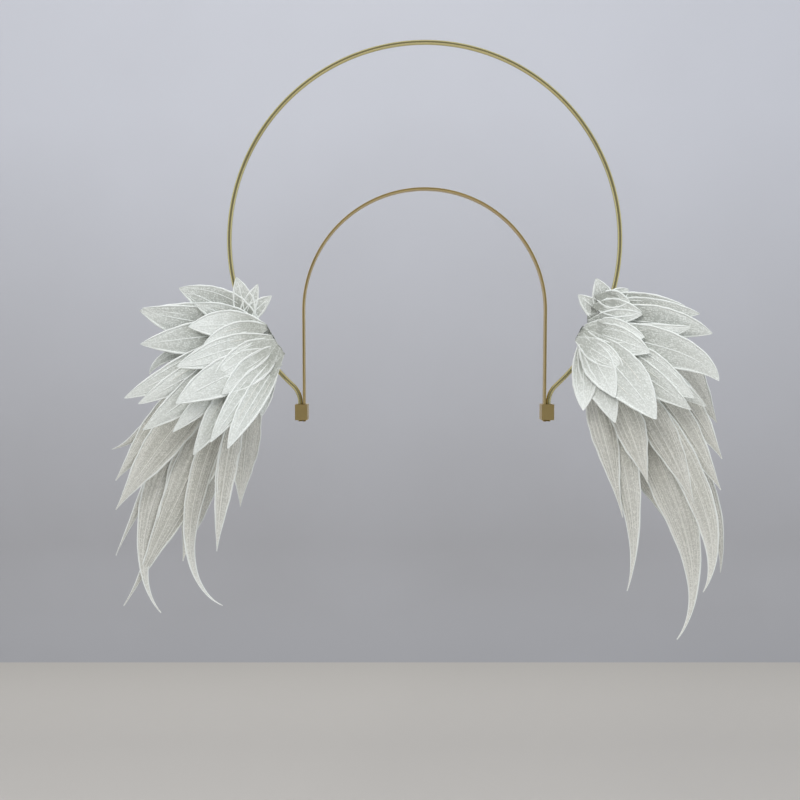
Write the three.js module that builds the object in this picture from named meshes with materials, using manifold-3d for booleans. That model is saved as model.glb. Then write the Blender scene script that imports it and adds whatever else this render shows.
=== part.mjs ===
// Halo headband: a gold wire ring standing upright behind the head on a hair hoop, with a wing of white lace
// at each side. Millimetres, +Z up, the wearer faces -Y, and the origin is the hoop's inner face at its crown.
import * as THREE from 'three';
import { mergeVertices } from 'three/addons/utils/BufferGeometryUtils.js';
import Module from 'manifold-3d';

const wasm = await Module();
wasm.setup();

// Driving dimensions
const GAP = 0.3;                  // clearance between pieces that touch
const RING_DIAMETER = 250;        // over the wire
const RING_WIRE = 3;
const RING_CENTRE_DROP = 32.5;    // ring's centre below the hoop's crown
const RING_SIDES = 8;
const RING_STEPS = 100;
const HOOP_INNER_WIDTH = 152;
const HOOP_BAND = 6;              // hoop's width, front to back
const HOOP_THICKNESS = 1.5;
const HOOP_ARC_SEGMENTS = 40;
const TAIL_BEND = 15;             // radius at which the ring turns down along the hoop's end
const SLEEVE_LENGTH = 10;
const SLEEVE_WALL = 1.2;
const SLEEVE_MARGIN = 1;          // tail left bare above and below the sleeve

const LACE_WALL = 1.2;
const LACE_SEAT = 0.45;           // from the wire's front to the rearmost layer, whose feathers lean back past it
const LACE_SPREAD = 8;            // how much further the layers stand apart at the feathers' tips
const FOLD_ROOM = 0.08;           // room for a feather's folds between the layers, as a share of the spread
const SPREAD_FROM = 5;            // distance out from the sewn circle at which they begin to part
const SPREAD_REACH = 44;          // distance from there in which most of that spread happens
const SPREAD_POWER = 1.5;
const FLAT_LAYER = 1;             // the layer that hangs straight, counted from the back
const TILT = 0.34;                // a feather's upper edge comes forward, as a share of the spread
const CAMBER = 0.14;              // rise of a feather's vein, as a share of the spread
const SEWN_INSET = 2;             // from the middle of the wire to the middle of the lace's sewn edge
const SEWN_FROM = -14;            // stretch of the ring that the lace is sewn to, degrees above its centre
const SEWN_TO = -35.5;
const SEWN_TAPE = 8;              // width of each layer's sewn edge
const TAPE_STEPS = 2;
const TAPE_MARGIN = 0.06;         // tape past the first and last root, as a share of the sewn stretch
const STALK = 0.22;               // a feather's half width at its root, as a share of its widest
const TIP = 0.02;                 // the same at its tip
const CURL_POWER = 6;             // how late along a feather its tip's curl begins
const SETTLE_POWER = 4;           // how late along it the tilt and the camber die out to the tip

// The kinds of feather: lengths and widths of the largest, how far they begin on the head's side of the sewn
// circle, and the form of the outline
const KINDS = {
  covert: { length: 85, width: 21.5, lead: 10, widest: 0.48, fullness: 0.9, steps: 5 },
  broad: { length: 212, width: 26.5, lead: 0, widest: 0.55, fullness: 1.4, steps: 6 },
  long: { length: 212, width: 26.5, lead: 0, widest: 0.43, fullness: 2, steps: 6 },
};

// Layers of a wing from the back, with the kind of their feathers
const LAYERS = [
  ['rear_primaries', 'broad'],
  ['primaries', 'long'],
  ['secondaries', 'broad'],
  ['rear_coverts', 'covert'],
  ['mid_coverts', 'covert'],
  ['front_coverts', 'covert'],
];

// A row for each feather: where it crosses the sewn circle along the sewn stretch, the way it sets off in degrees
// (0 straight out from the head, 90 up), its length from there and its width as shares of its kind's, its bend and
// the curl of its tip.
const COLUMNS = ['along', 'heading', 'length', 'width', 'bend', 'curl'];
const LEFT_WING = {
  rear_primaries: [
    [0.60, -47, 0.70, 0.80, -20, 0],
    [0.75, -62, 0.73, 0.90, -16, 0],
    [0.85, -76, 0.50, 0.70, -10, 0],
  ],
  primaries: [
    [0.62, -50, 0.80, 0.60, -16, 0],
    [0.68, -47, 0.95, 0.90, -34, -50],
    [0.76, -61, 0.91, 0.95, -6, 10],
    [0.80, -57, 0.76, 0.95, -10, 0],
    [0.84, -57, 0.87, 0.48, -30, -70],
  ],
  secondaries: [
    [0.55, -46, 0.55, 0.45, 0, 30],
    [0.60, -44, 0.60, 0.72, -8, 0],
    [0.66, -48, 0.66, 0.80, -8, 0],
    [0.76, -72, 0.64, 0.45, -14, 0],
    [0.84, -67, 0.57, 0.40, -22, 0],
  ],
  rear_coverts: [
    [0.44, 138, 0.25, 0.45, 0, 0],
    [0.40, 112, 0.25, 0.40, 0, 0],
    [0.42, 84, 0.30, 0.60, -10, 0],
    [0.47, 32, 0.53, 0.95, -10, 0],
    [0.54, 9, 0.75, 0.55, 0, 0],
    [0.58, 2, 0.78, 1.15, 12, 0],
    [0.66, -13, 0.81, 0.45, 0, -60],
  ],
  mid_coverts: [
    [0.52, 21, 0.40, 0.62, 0, 0],
    [0.62, -9, 0.75, 0.95, 2, 0],
    [0.70, -27, 0.98, 0.80, 0, 0],
    [0.76, -31, 0.92, 0.75, 2, 0],
    [0.84, -41, 0.99, 0.90, 6, 0],
    [0.90, -45, 0.84, 0.65, 0, 0],
    [0.96, -57, 0.87, 0.80, 0, 0],
    [0.98, -84, 0.46, 0.70, -6, 0],
  ],
  front_coverts: [
    [0.54, 4, 0.40, 0.80, -10, 0],
    [1.10, -54, 0.69, 0.60, -4, 0],
    [1.20, -58, 0.65, 0.60, -8, 0],
    [1.05, -21, 0.68, 1.05, -12, 0],
    [0.79, -13, 0.56, 0.80, -10, 0],
    [0.62, -12, 0.33, 0.75, -8, 0],
    [1.04, -44, 0.40, 0.75, 4, 0],
    [0.92, -28, 0.38, 0.80, -6, 0],
  ],
};
const RIGHT_WING = {
  rear_primaries: [
    [0.50, -19, 0.49, 1.00, -40, 0],
    [0.66, -41, 0.87, 0.55, -34, -20],
    [0.75, -60, 0.61, 1.10, -12, 0],
  ],
  primaries: [
    [0.70, -57, 1.00, 0.96, -20, -50],
    [0.88, -67, 0.76, 0.62, -20, -20],
    [1.00, -73, 0.51, 0.60, -4, 0],
  ],
  secondaries: [
    [0.52, -35, 0.54, 0.70, -26, 0],
    [0.58, -45, 0.60, 0.70, -16, 0],
    [0.62, -52, 0.87, 0.60, -18, -50],
    [0.66, -54, 0.58, 0.68, -12, 0],
    [0.80, -64, 0.45, 0.68, -8, 0],
  ],
  rear_coverts: [
    [0.40, 142, 0.25, 0.55, 0, 0],
    [0.30, 111, 0.24, 0.62, 0, 0],
    [0.34, 112, 0.21, 0.70, -90, 0],
    [0.15, -2, 0.51, 0.50, -8, 0],
    [0.30, 1, 0.63, 0.70, -8, 0],
    [0.45, 1, 0.76, 0.95, -16, 0],
    [0.72, -33, 0.92, 0.70, 0, 0],
  ],
  mid_coverts: [
    [0.16, -8, 0.13, 0.50, 0, 0],
    [0.28, -6, 0.23, 0.50, -4, 0],
    [0.46, 8, 0.27, 0.45, 0, 0],
    [0.72, -7, 0.65, 0.62, 22, 0],
    [0.70, 0, 0.90, 1.05, -30, -30],
    [0.76, -22, 0.78, 1.00, -18, 0],
    [0.82, -30, 0.81, 0.80, -10, 0],
    [0.94, -67, 0.55, 0.80, -6, 0],
    [1.00, -88, 0.41, 0.70, -6, 0],
  ],
  front_coverts: [
    [0.58, -4, 0.30, 0.70, -14, 0],
    [0.66, -10, 0.37, 0.85, -20, 0],
    [0.80, -44, 0.67, 1.20, -18, 0],
    [0.90, -59, 0.39, 0.80, -10, 0],
    [0.88, -30, 0.28, 0.65, -8, 0],
  ],
};

// Sizes worked out from these
const ringRadius = (RING_DIAMETER - RING_WIRE) / 2;
const sewnRadius = ringRadius - SEWN_INSET;
const hoopInner = HOOP_INNER_WIDTH / 2;
const hoopOuter = hoopInner + HOOP_THICKNESS;
const tailX = hoopOuter + GAP + RING_WIRE / 2;
const tailLength = SLEEVE_LENGTH + 2 * SLEEVE_MARGIN;
const tailTop = -RING_CENTRE_DROP - Math.sqrt((ringRadius + TAIL_BEND) ** 2 - (tailX + TAIL_BEND) ** 2);
const tailEnd = tailTop - tailLength;
const lacePitch = LACE_WALL + GAP + FOLD_ROOM * LACE_SPREAD;

const gold = new THREE.MeshStandardMaterial({ color: 0xc9a648, metalness: 1, roughness: 0.25 });
const lace = new THREE.MeshStandardMaterial({ color: 0xe9ece8, metalness: 0, roughness: 0.85 });
const group = new THREE.Group();

function addNode(name, geometry, material) {
  const mesh = new THREE.Mesh(geometry, material);
  mesh.name = name;
  group.add(mesh);
}

// A flat curve lifted into the upright plane of the ring
class UprightCurve extends THREE.Curve {
  constructor(path) {
    super();
    this.path = path;
  }

  getPoint(t, target = new THREE.Vector3()) {
    const point = this.path.getPoint(t);
    return target.set(point.x, 0, point.y);
  }
}

// The ring's wire: up the left tail, out of its bend, over the circle, and back down the right side
function haloRing() {
  const meeting = Math.asin((-tailTop - RING_CENTRE_DROP) / (ringRadius + TAIL_BEND));
  const wire = new THREE.Path();
  wire.moveTo(-tailX, tailEnd);
  wire.lineTo(-tailX, tailTop);
  wire.absarc(-tailX - TAIL_BEND, tailTop, TAIL_BEND, 0, meeting, false);
  wire.absarc(0, -RING_CENTRE_DROP, ringRadius, Math.PI + meeting, -meeting, true);
  wire.absarc(tailX + TAIL_BEND, tailTop, TAIL_BEND, Math.PI - meeting, Math.PI, false);
  wire.lineTo(tailX, tailEnd);
  const section = new THREE.Shape();
  for (let i = 0; i < RING_SIDES; i++) {
    const angle = (2 * Math.PI * i) / RING_SIDES;
    const corner = [(RING_WIRE / 2) * Math.cos(angle), (RING_WIRE / 2) * Math.sin(angle)];
    if (i === 0) section.moveTo(...corner);
    else section.lineTo(...corner);
  }
  return new THREE.ExtrudeGeometry(section, {
    steps: RING_STEPS, bevelEnabled: false, extrudePath: new UprightCurve(wire),
  });
}

// The hoop's outline from the front, a half circle on two straight legs, given its width from front to back
function hairHoop() {
  const outline = new THREE.Shape();
  outline.moveTo(hoopOuter, tailEnd);
  outline.lineTo(hoopOuter, -hoopInner);
  outline.absarc(0, -hoopInner, hoopOuter, 0, Math.PI, false);
  outline.lineTo(-hoopOuter, tailEnd);
  outline.lineTo(-hoopInner, tailEnd);
  outline.lineTo(-hoopInner, -hoopInner);
  outline.absarc(0, -hoopInner, hoopInner, Math.PI, 0, true);
  outline.lineTo(hoopInner, tailEnd);
  const hoop = new THREE.ExtrudeGeometry(outline, {
    depth: HOOP_BAND, curveSegments: HOOP_ARC_SEGMENTS, bevelEnabled: false,
  });
  return hoop.rotateX(Math.PI / 2).translate(0, HOOP_BAND / 2, 0);
}

// A sleeve round the hoop's end and the ring's tail
function endSleeve(side) {
  const inside = { from: hoopInner - GAP, to: tailX + RING_WIRE / 2 + GAP, deep: HOOP_BAND / 2 + GAP };
  const rectangle = (shape, grow) => {
    shape.moveTo(inside.from - grow, -inside.deep - grow);
    shape.lineTo(inside.to + grow, -inside.deep - grow);
    shape.lineTo(inside.to + grow, inside.deep + grow);
    shape.lineTo(inside.from - grow, inside.deep + grow);
    shape.closePath();
    return shape;
  };
  const wall = rectangle(new THREE.Shape(), SLEEVE_WALL);
  wall.holes.push(rectangle(new THREE.Path(), 0));
  const sleeve = new THREE.ExtrudeGeometry(wall, { depth: SLEEVE_LENGTH, bevelEnabled: false });
  if (side < 0) sleeve.rotateZ(Math.PI);
  return sleeve.translate(0, 0, tailEnd + SLEEVE_MARGIN);
}

// How much the layers have spread at a point of the wing: nothing near the sewn circle or inside it, all of it
// far out
function spreadAt(x, z) {
  const away = Math.max(0, Math.hypot(x, z + RING_CENTRE_DROP) - sewnRadius - SPREAD_FROM);
  return LACE_SPREAD * (1 - Math.exp(-((away / SPREAD_REACH) ** SPREAD_POWER)));
}

// Depth of a layer's middle at a point, with the feather's own relief as a share of the spread
function layerDepth(x, z, layer, relief) {
  const sewn = RING_WIRE / 2 + LACE_SEAT + LACE_WALL / 2 + layer * lacePitch;
  return -(sewn + (layer - FLAT_LAYER + relief) * spreadAt(x, z));
}

function sewnPoint(side, along, outward = 0) {
  const angle = THREE.MathUtils.degToRad(SEWN_FROM + along * (SEWN_TO - SEWN_FROM));
  const radius = sewnRadius + outward;
  return { x: side * radius * Math.cos(angle), z: -RING_CENTRE_DROP + radius * Math.sin(angle) };
}

// A wall of cloth as a solid: a box whose corners are moved to surface(across, along), with its thickness on Y
function clothSolid(acrossSteps, alongSteps, surface) {
  const box = new THREE.BoxGeometry(2, 1, 1, acrossSteps, 1, alongSteps);
  const corners = box.attributes.position;
  for (let i = 0; i < corners.count; i++) {
    const place = surface(corners.getX(i), corners.getZ(i) + 0.5);
    corners.setXYZ(i, place.x, place.y + corners.getY(i) * LACE_WALL, place.z);
  }
  box.deleteAttribute('normal');
  box.deleteAttribute('uv');
  const closed = mergeVertices(box);
  return new wasm.Manifold(new wasm.Mesh({
    numProp: 3, vertProperties: closed.attributes.position.array, triVerts: new Uint32Array(closed.index.array),
  }));
}

// A layer's sewn edge, a tape that follows the ring from a little before its first root to a little past its last
function sewnTape(side, layer, rows) {
  const roots = rows.map((row) => row.along);
  const first = Math.min(...roots) - TAPE_MARGIN;
  const last = Math.max(...roots) + TAPE_MARGIN;
  return clothSolid(2, TAPE_STEPS, (across, along) => {
    const point = sewnPoint(side, first + along * (last - first), (side * -across * SEWN_TAPE) / 2);
    return { x: point.x, y: layerDepth(point.x, point.z, layer, 0), z: point.z };
  });
}

// Half width of a feather at a share t of its length: a skewed sine arch on a stalk that dies out to the tip
function outline(kind, t) {
  const skew = Math.log(0.5) / Math.log(kind.widest);
  const arch = Math.max(0, Math.sin(Math.PI * t ** skew)) ** kind.fullness;
  return Math.hypot(arch, STALK * (1 - t)) + TIP;
}

// A feather: its vein is a curve whose heading changes evenly by its bend and quickly at the tip by its curl
function feather(side, layer, kind, row) {
  const heading = (t) => THREE.MathUtils.degToRad(row.heading + row.bend * t + row.curl * t ** CURL_POWER);
  const step = (row.length * kind.length + kind.lead) / kind.steps;
  const crossing = sewnPoint(side, row.along);
  const vein = [{
    x: crossing.x - side * kind.lead * Math.cos(heading(0)),
    z: crossing.z - kind.lead * Math.sin(heading(0)),
  }];
  for (let i = 0; i < kind.steps; i++) {
    const way = heading((i + 0.5) / kind.steps);
    vein.push({ x: vein[i].x + side * step * Math.cos(way), z: vein[i].z + step * Math.sin(way) });
  }
  return clothSolid(2, kind.steps, (across, along) => {
    const centre = vein[Math.round(along * kind.steps)];
    const half = (outline(kind, along) * row.width * kind.width) / 2;
    const way = heading(along);
    const x = centre.x + across * half * Math.sin(way);
    const z = centre.z - across * half * side * Math.cos(way);
    const relief = (CAMBER * (1 - across ** 2) - TILT * across * side) * (1 - along ** SETTLE_POWER);
    return { x, y: layerDepth(x, z, layer, relief), z };
  });
}

// Pockets shut in between overlapping feathers are stitched through, so only the outer shells are kept
function withoutPockets(solid) {
  const outer = solid.decompose().filter((shell) => shell.volume() > 0);
  return outer.reduce((joined, shell) => joined.add(shell));
}

// One layer of lace, its feathers joined to its sewn tape
function laceLayer(side, layer, kindName, table) {
  const rows = table.map((values) => Object.fromEntries(COLUMNS.map((column, i) => [column, values[i]])));
  let whole = sewnTape(side, layer, rows);
  for (const row of rows) whole = whole.add(feather(side, layer, KINDS[kindName], row));
  const mesh = withoutPockets(whole).getMesh();
  const geometry = new THREE.BufferGeometry();
  geometry.setAttribute('position', new THREE.BufferAttribute(mesh.vertProperties, 3));
  geometry.setIndex(new THREE.BufferAttribute(mesh.triVerts, 1));
  return geometry;
}

addNode('halo_ring', haloRing(), gold);
addNode('hair_hoop', hairHoop(), gold);
for (const [name, side, wing] of [['left', -1, LEFT_WING], ['right', 1, RIGHT_WING]]) {
  addNode(`end_sleeve_${name}`, endSleeve(side), gold);
  LAYERS.forEach(([layerName, kindName], layer) => {
    addNode(`${name}_${layerName}`, laceLayer(side, layer, kindName, wing[layerName]), lace);
  });
}

export default group;
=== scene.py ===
"""Halo headband: a gold wire ring on a hair hoop, with a wing of white embroidered lace at each side.

Everything is in metres in the frame of the CAD model: +Z is up and the wearer faces -Y. The feathers of each
lace layer are surfaces of two parameters, across from -1 to 1 and along from 0 to 1, worked out as whole
arrays.
"""
import math

import bpy
import numpy as np
from bpy.props import FloatProperty, FloatVectorProperty, IntProperty, PointerProperty
from bpy.types import Operator, Panel, PropertyGroup
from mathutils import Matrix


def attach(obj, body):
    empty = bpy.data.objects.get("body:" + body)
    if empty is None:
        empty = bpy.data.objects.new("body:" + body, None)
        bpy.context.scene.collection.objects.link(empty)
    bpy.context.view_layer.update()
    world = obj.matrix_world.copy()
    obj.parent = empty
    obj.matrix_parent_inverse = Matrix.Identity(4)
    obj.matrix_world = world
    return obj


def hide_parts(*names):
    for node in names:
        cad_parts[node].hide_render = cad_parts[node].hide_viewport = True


bl_info = {
    "name": "Halo Headband",
    "version": (1, 0, 0),
    "blender": (4, 5, 0),
    "location": "View3D > Sidebar > Halo",
    "description": "Builds a gold halo ring on a hair hoop with two wings of embroidered lace",
    "category": "Add Mesh",
}

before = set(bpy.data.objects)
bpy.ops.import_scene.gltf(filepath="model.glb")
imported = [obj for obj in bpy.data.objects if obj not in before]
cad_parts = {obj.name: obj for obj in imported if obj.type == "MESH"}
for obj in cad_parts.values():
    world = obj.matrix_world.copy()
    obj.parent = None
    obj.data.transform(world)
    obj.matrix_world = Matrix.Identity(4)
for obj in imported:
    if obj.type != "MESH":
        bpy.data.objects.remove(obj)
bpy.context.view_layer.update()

# The kinds of feather: length and width of the largest, how far they begin inside the ring's circle, the share
# of the length where they are widest, and how full their outline is
KINDS = {
    "covert": {"length": 0.085, "width": 0.0215, "lead": 0.010, "widest": 0.48, "fullness": 0.9},
    "broad": {"length": 0.212, "width": 0.0265, "lead": 0.0, "widest": 0.55, "fullness": 1.4},
    "long": {"length": 0.212, "width": 0.0265, "lead": 0.0, "widest": 0.43, "fullness": 2.0},
}
# Layers of a wing from the back, with the kind of their feathers
LAYERS = [
    ("rear_primaries", "broad"),
    ("primaries", "long"),
    ("secondaries", "broad"),
    ("rear_coverts", "covert"),
    ("mid_coverts", "covert"),
    ("front_coverts", "covert"),
]
# A row for each feather, with angles in degrees and lengths and widths as shares of its kind's
COLUMNS = ("along", "heading", "length", "width", "bend", "curl")
LEFT_WING = {
    "rear_primaries": [
        (0.60, -47, 0.70, 0.80, -20, 0),
        (0.75, -62, 0.73, 0.90, -16, 0),
        (0.85, -76, 0.50, 0.70, -10, 0),
    ],
    "primaries": [
        (0.62, -50, 0.80, 0.60, -16, 0),
        (0.68, -47, 0.95, 0.90, -34, -50),
        (0.76, -61, 0.91, 0.95, -6, 10),
        (0.80, -57, 0.76, 0.95, -10, 0),
        (0.84, -57, 0.87, 0.48, -30, -70),
    ],
    "secondaries": [
        (0.55, -46, 0.55, 0.45, 0, 30),
        (0.60, -44, 0.60, 0.72, -8, 0),
        (0.66, -48, 0.66, 0.80, -8, 0),
        (0.76, -72, 0.64, 0.45, -14, 0),
        (0.84, -67, 0.57, 0.40, -22, 0),
    ],
    "rear_coverts": [
        (0.44, 138, 0.25, 0.45, 0, 0),
        (0.40, 112, 0.25, 0.40, 0, 0),
        (0.42, 84, 0.30, 0.60, -10, 0),
        (0.47, 32, 0.53, 0.95, -10, 0),
        (0.54, 9, 0.75, 0.55, 0, 0),
        (0.58, 2, 0.78, 1.15, 12, 0),
        (0.66, -13, 0.81, 0.45, 0, -60),
    ],
    "mid_coverts": [
        (0.52, 21, 0.40, 0.62, 0, 0),
        (0.62, -9, 0.75, 0.95, 2, 0),
        (0.70, -27, 0.98, 0.80, 0, 0),
        (0.76, -31, 0.92, 0.75, 2, 0),
        (0.84, -41, 0.99, 0.90, 6, 0),
        (0.90, -45, 0.84, 0.65, 0, 0),
        (0.96, -57, 0.87, 0.80, 0, 0),
        (0.98, -84, 0.46, 0.70, -6, 0),
    ],
    "front_coverts": [
        (0.54, 4, 0.40, 0.80, -10, 0),
        (1.10, -54, 0.69, 0.60, -4, 0),
        (1.20, -58, 0.65, 0.60, -8, 0),
        (1.05, -21, 0.68, 1.05, -12, 0),
        (0.79, -13, 0.56, 0.80, -10, 0),
        (0.62, -12, 0.33, 0.75, -8, 0),
        (1.04, -44, 0.40, 0.75, 4, 0),
        (0.92, -28, 0.38, 0.80, -6, 0),
    ],
}
RIGHT_WING = {
    "rear_primaries": [
        (0.50, -19, 0.49, 1.00, -40, 0),
        (0.66, -41, 0.87, 0.55, -34, -20),
        (0.75, -60, 0.61, 1.10, -12, 0),
    ],
    "primaries": [
        (0.70, -57, 1.00, 0.96, -20, -50),
        (0.88, -67, 0.76, 0.62, -20, -20),
        (1.00, -73, 0.51, 0.60, -4, 0),
    ],
    "secondaries": [
        (0.52, -35, 0.54, 0.70, -26, 0),
        (0.58, -45, 0.60, 0.70, -16, 0),
        (0.62, -52, 0.87, 0.60, -18, -50),
        (0.66, -54, 0.58, 0.68, -12, 0),
        (0.80, -64, 0.45, 0.68, -8, 0),
    ],
    "rear_coverts": [
        (0.40, 142, 0.25, 0.55, 0, 0),
        (0.30, 111, 0.24, 0.62, 0, 0),
        (0.34, 112, 0.21, 0.70, -90, 0),
        (0.15, -2, 0.51, 0.50, -8, 0),
        (0.30, 1, 0.63, 0.70, -8, 0),
        (0.45, 1, 0.76, 0.95, -16, 0),
        (0.72, -33, 0.92, 0.70, 0, 0),
    ],
    "mid_coverts": [
        (0.16, -8, 0.13, 0.50, 0, 0),
        (0.28, -6, 0.23, 0.50, -4, 0),
        (0.46, 8, 0.27, 0.45, 0, 0),
        (0.72, -7, 0.65, 0.62, 22, 0),
        (0.70, 0, 0.90, 1.05, -30, -30),
        (0.76, -22, 0.78, 1.00, -18, 0),
        (0.82, -30, 0.81, 0.80, -10, 0),
        (0.94, -67, 0.55, 0.80, -6, 0),
        (1.00, -88, 0.41, 0.70, -6, 0),
    ],
    "front_coverts": [
        (0.58, -4, 0.30, 0.70, -14, 0),
        (0.66, -10, 0.37, 0.85, -20, 0),
        (0.80, -44, 0.67, 1.20, -18, 0),
        (0.90, -59, 0.39, 0.80, -10, 0),
        (0.88, -30, 0.28, 0.65, -8, 0),
    ],
}
WINGS = {"left": (-1, LEFT_WING), "right": (1, RIGHT_WING)}

# How the layers lie, as in the CAD model
CAD_WALL = 0.0012          # wall of a layer
LACE_SEAT = 0.00045        # from the wire to the rearmost wall
LACE_PITCH = 0.00214       # from layer to layer where they are sewn
LACE_SPREAD = 0.008        # how much further apart the layers get out along the feathers
SPREAD_FROM = 0.005        # distance out from the sewn circle at which they begin to spread
SPREAD_REACH = 0.044
SPREAD_POWER = 1.5
FLAT_LAYER = 1             # the layer that neither comes forward nor falls back
TILT = 0.34                # a feather's rise from vein to edge, as a share of the spread
CAMBER = 0.14              # its middle's rise over its edges, as a share of the spread
SEWN_INSET = 0.002         # from the middle of the wire in to the sewn circle
SEWN_FROM = -14            # stretch of the ring that the lace is sewn to, degrees above its centre
SEWN_TO = -35.5
SEWN_TAPE = 0.008          # width of the sewn tape
TAPE_MARGIN = 0.06         # how far it runs past the roots, as a share of the sewn stretch
STALK = 0.22               # half widths of a feather's stalk and its tip, as shares of its widest
TIP = 0.02
CURL_POWER = 6             # how late along a feather its curl comes
SETTLE_POWER = 4           # how late along it the tilt and the camber die out to the tip

# The fineness of the grids
ALONG_STEPS = {"covert": 44, "broad": 72, "long": 72}
CORD_SIDES = 8
TAPE_STEPS = 40
TAPE_SIDES = 16
WIRE_SIDES = 24
RING_STEPS = 420
BEND_STEPS = 24
LEG_STEPS = 14

# The maps and the cut of the cloth
MAP_SCALE = 100            # units of the weave map in a metre
CLOTH_USED = 0.62          # share of its square of cloth that a layer's cut takes
EDGE_THIN = 0.12           # thickness of the cloth near its edges, as a share of its middle's
EDGE_LINE = 0.97           # where the edges' cords lie across a feather
LONG_CHANNELS = 3          # swellings in each half of a long feather, where a covert has one
TAIL_BELOW_BEND = 0.002    # straight wire between the ring's bend and its sleeve
BAND_CORNERS = 0.35        # how square the hoop's section is, from 0, a rectangle, to 1, an ellipse

# Small departures from the even form, most as shares of the spread or of a width
ROW_LIFT = 0.0006          # metres by which each layer's last feather lies in front of its first
RUFFLE = 0.03              # waves along a feather's edges
TIP_LIFT = 0.14            # rise or fall of the tips
EDGE_WAVE = 0.035          # unevenness of the cut
FINE_WAVE = 0.05           # the same in short waves along the long feathers, half as much on the coverts
LOPSIDED = 0.10            # how much wider one half of a feather is than the other
CORD_FROM = 0.14           # share of a covert's length at which its cords come out of the shared cloth
CORD_RANGE = 0.14


class HaloSizes(PropertyGroup):
    """The sizes of the metal and of the lace."""
    ring_diameter: FloatProperty(name="Ring diameter", description="Ring over its wire", default=0.250,
                                 unit="LENGTH", subtype="DISTANCE")
    ring_wire: FloatProperty(name="Ring wire", description="Thickness of the ring's wire", default=0.003,
                             unit="LENGTH", subtype="DISTANCE")
    ring_drop: FloatProperty(name="Ring drop", description="Ring's centre below the crown of the hoop",
                             default=0.0325, unit="LENGTH", subtype="DISTANCE")
    tail_bend: FloatProperty(name="Tail bend", default=0.015, unit="LENGTH", subtype="DISTANCE",
                             description="Radius where the ring turns down to the hoop's end")
    hoop_width: FloatProperty(name="Hoop width", description="Inside of the hair hoop from side to side",
                              default=0.152, unit="LENGTH", subtype="DISTANCE")
    hoop_band: FloatProperty(name="Hoop band", description="Hoop's metal from front to back", default=0.006,
                             unit="LENGTH", subtype="DISTANCE")
    hoop_thickness: FloatProperty(name="Hoop thickness", description="Thickness of the hoop's metal",
                                  default=0.0015, unit="LENGTH", subtype="DISTANCE")
    sleeve_length: FloatProperty(name="Sleeve length", description="Length of the sleeves at the hoop's ends",
                                 default=0.010, unit="LENGTH", subtype="DISTANCE")
    gap: FloatProperty(name="Gap", description="Clearance between pieces that touch", default=0.0003,
                       unit="LENGTH", subtype="DISTANCE")
    cloth: FloatProperty(name="Cloth", description="Thickness of the organza", default=0.00035,
                         unit="LENGTH", subtype="DISTANCE")
    rim_cord: FloatProperty(name="Rim cord", description="Width of the corded edge of a covert",
                            default=0.0012, unit="LENGTH", subtype="DISTANCE")
    rib_cord: FloatProperty(name="Rib cord", description="Width of the stitched lines inside a covert",
                            default=0.0007, unit="LENGTH", subtype="DISTANCE")
    fine_cord: FloatProperty(name="Fine cord", default=0.0010, unit="LENGTH", subtype="DISTANCE",
                             description="Width of the edges and lines of the long feathers")
    puff: FloatProperty(name="Puff", description="How much the cloth swells between its stitched lines, as a "
                        "share of the layers' spread", default=0.09, subtype="FACTOR", min=0, max=0.12)
    grid_across: IntProperty(name="Grid across", description="Steps across each feather", default=18, min=6,
                             max=30)


class HaloFinishes(PropertyGroup):
    """The colours of the object and of the studio."""
    gold: FloatVectorProperty(name="Gold wire", description="Colour of the polished ring",
                              default=(0.70, 0.63, 0.33), size=3, subtype="COLOR", min=0, max=1)
    band: FloatVectorProperty(name="Gold band", description="Colour of the hoop and the sleeves",
                              default=(0.72, 0.55, 0.24), size=3, subtype="COLOR", min=0, max=1)
    organza: FloatVectorProperty(name="Organza", description="Ground cloth of the coverts",
                                 default=(0.435, 0.455, 0.41), size=3, subtype="COLOR", min=0, max=1)
    stitches: FloatVectorProperty(name="Stitches", description="Embroidery thread of the coverts",
                                  default=(0.87, 0.90, 0.865), size=3, subtype="COLOR", min=0, max=1)
    sheer: FloatVectorProperty(name="Sheer cloth", description="Ground cloth of the long feathers",
                               default=(0.64, 0.64, 0.575), size=3, subtype="COLOR", min=0, max=1)
    sheer_stitches: FloatVectorProperty(name="Sheer stitches", description="Thread on the long feathers",
                                        default=(0.82, 0.82, 0.765), size=3, subtype="COLOR", min=0, max=1)
    # the backdrop's painted light above and painted shade by the floor
    backdrop_painted_light: FloatVectorProperty(name="Backdrop above", default=(0.64, 0.655, 0.71), size=3,
                                       subtype="COLOR", min=0, max=1,
                                       description="Backdrop at the top of the picture")
    backdrop_painted_shade: FloatVectorProperty(name="Backdrop below", description="Backdrop by the floor",
                                      default=(0.42, 0.42, 0.435), size=3, subtype="COLOR", min=0, max=1)
    floor: FloatVectorProperty(name="Floor", description="Colour of the floor", default=(0.545, 0.52, 0.48),
                               size=3, subtype="COLOR", min=0, max=1)


# Meshes

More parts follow.
